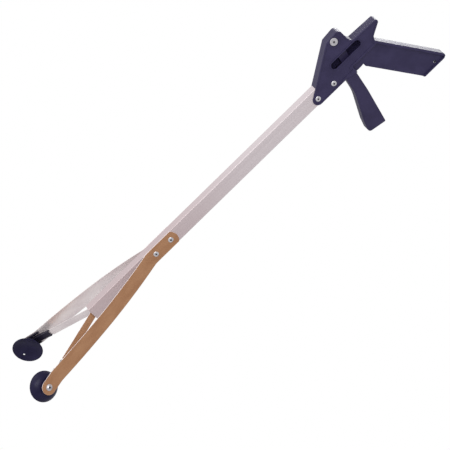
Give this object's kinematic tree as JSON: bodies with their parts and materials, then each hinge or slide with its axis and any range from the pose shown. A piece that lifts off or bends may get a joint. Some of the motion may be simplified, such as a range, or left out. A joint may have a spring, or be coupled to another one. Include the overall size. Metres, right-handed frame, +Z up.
{
  "type": "reacher grabber",
  "caption": "Long-reach pick-up tool: pistol-grip handle with a trigger, a rectangular tube, and sprung metal bands that close a pair of rubber cups.",
  "frame": {"origin": "centre of the hang hole in the grip's end, on the tool's middle plane", "axes": "+X along the tube to the cups, +Y to the tool's left, along the hang hole, +Z up, away from the trigger"},
  "size_m": [0.873, 0.1878, 0.1799],
  "materials": {
    "handle_plastic": "fine-textured satin",
    "inner_plastic": "satin",
    "holder_plastic": "satin",
    "tube_aluminium": "pale anodised satin",
    "rivet_aluminium": "bright",
    "zinc_steel": "zinc plated",
    "near_band_outer": "bronze outside, bright inside",
    "far_band_outer": "bronze outside, bright inside",
    "spring_strip": "bronze outside, bright inside",
    "cup_rubber": "smooth, slightly glossy"
  },
  "bodies": {
    "frame": {"handle_left": "handle_plastic", "handle_right": "handle_plastic", "tube": "tube_aluminium", "handle_rivets": "rivet_aluminium", "band_rivets": "rivet_aluminium", "near_band_root": "near_band_outer", "far_band_root": "far_band_outer", "pivot_bolt": "zinc_steel", "pivot_nut": "zinc_steel", "pivot_sleeve": "zinc_steel"},
    "trigger": {"trigger": "handle_plastic", "rod_pin": "zinc_steel"},
    "rod": {"pull_rod": "zinc_steel", "rod_yoke": "inner_plastic", "rod_tip": "inner_plastic", "strip_pins": "zinc_steel"},
    "near_lower": {"near_band_lower": "near_band_outer"},
    "near_finger": {"near_band_upper": "near_band_outer", "near_cup_holder": "holder_plastic", "near_cup": "cup_rubber", "near_cup_screw": "zinc_steel", "near_cup_washer": "zinc_steel"},
    "near_strip": {"near_inner_strip": "spring_strip"},
    "far_lower": {"far_band_lower": "far_band_outer"},
    "far_finger": {"far_band_upper": "far_band_outer", "far_cup_holder": "holder_plastic", "far_cup": "cup_rubber", "far_cup_screw": "zinc_steel", "far_cup_washer": "zinc_steel"},
    "far_strip": {"far_inner_strip": "spring_strip"}
  },
  "joints": [
    {"name": "trigger_hinge", "type": "hinge", "parent": "frame", "child": "trigger", "pos_m": [0.0984, 0, 0.1571], "axis": [0, 1, 0], "range_deg": [0, 21.9], "stiffness_Nm_per_rad": 2, "springref_deg": -17.19},
    {"name": "rod_slide", "type": "slide", "parent": "frame", "child": "rod", "axis": [1, 0, 0], "range_m": [-0.01819, 0]},
    {"name": "near_bend", "type": "hinge", "parent": "frame", "child": "near_lower", "pos_m": [0.56221, 0.01055, 0.1065], "axis": [0, 0, 1], "range_deg": [-5.86, 0]},
    {"name": "near_knee", "type": "hinge", "parent": "near_lower", "child": "near_finger", "pos_m": [0.69094, 0.05694, 0.1065], "axis": [0, 0, 1], "range_deg": [-17.61, 0]},
    {"name": "near_strip_pin", "type": "hinge", "parent": "rod", "child": "near_strip", "pos_m": [0.6879, 0.0024, 0.1065], "axis": [0, 0, 1], "range_deg": [-27.75, 0]},
    {"name": "far_bend", "type": "hinge", "parent": "frame", "child": "far_lower", "pos_m": [0.56221, -0.01055, 0.1065], "axis": [0, 0, 1], "range_deg": [0, 5.86]},
    {"name": "far_knee", "type": "hinge", "parent": "far_lower", "child": "far_finger", "pos_m": [0.69094, -0.05694, 0.1065], "axis": [0, 0, 1], "range_deg": [0, 17.61]},
    {"name": "far_strip_pin", "type": "hinge", "parent": "rod", "child": "far_strip", "pos_m": [0.6879, -0.0024, 0.1065], "axis": [0, 0, 1], "range_deg": [0, 27.75]}
  ],
  "couplings": [
    {"joint": "rod_slide", "follows": "trigger_hinge", "m_per_rad": -0.047571},
    {"joint": "near_bend", "follows": "trigger_hinge", "ratio": -0.26712},
    {"joint": "near_knee", "follows": "trigger_hinge", "ratio": -0.80365},
    {"joint": "near_strip_pin", "follows": "trigger_hinge", "ratio": -1.2671},
    {"joint": "far_bend", "follows": "trigger_hinge", "ratio": 0.26712},
    {"joint": "far_knee", "follows": "trigger_hinge", "ratio": 0.80365},
    {"joint": "far_strip_pin", "follows": "trigger_hinge", "ratio": 1.2671}
  ]
}
